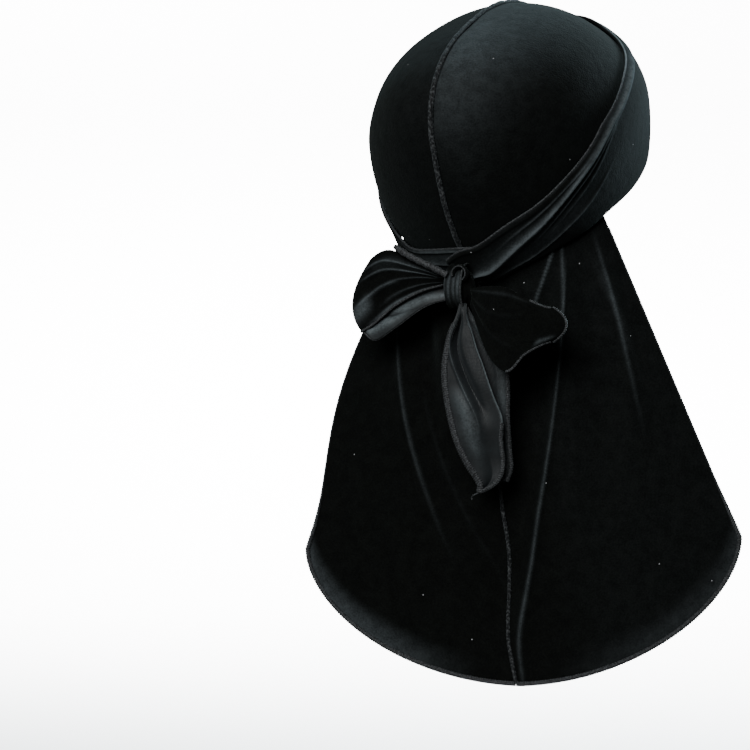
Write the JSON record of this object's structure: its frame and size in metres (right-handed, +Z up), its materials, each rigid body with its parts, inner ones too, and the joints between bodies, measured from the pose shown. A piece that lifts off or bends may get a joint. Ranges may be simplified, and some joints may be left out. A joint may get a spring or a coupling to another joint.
{
  "type": "durag",
  "caption": "Black velvet durag in its worn form: panelled crown with raised centre seam, straps wrapped round and tied in a bow at the nape, long rounded cape",
  "frame": {"origin": "inside of the crown where the top of the wearer's head touches it", "axes": "+Z up along the standing wearer, +Y the way the wearer faces, +X the wearer's right; the bow and the cape are at the back, on -Y"},
  "size_m": [0.247, 0.2046, 0.4131],
  "materials": {
    "velvet": "short-pile black velvet with a soft sheen",
    "seam_cloth": "raised folded velvet seam",
    "overlock_thread": "matte overlocked edge"
  },
  "bodies": {
    "root": {"crown_right": "velvet", "crown_left": "velvet", "strap_right": "velvet", "strap_left": "velvet", "cape_right": "velvet", "cape_left": "velvet", "knot": "velvet", "bow_loop_left": "velvet", "bow_loop_right": "velvet", "strap_end_front": "velvet", "strap_end_back": "velvet", "crown_seam": "seam_cloth", "cape_seam": "seam_cloth", "edging_right": "overlock_thread", "edging_left": "overlock_thread"}
  },
  "joints": []
}
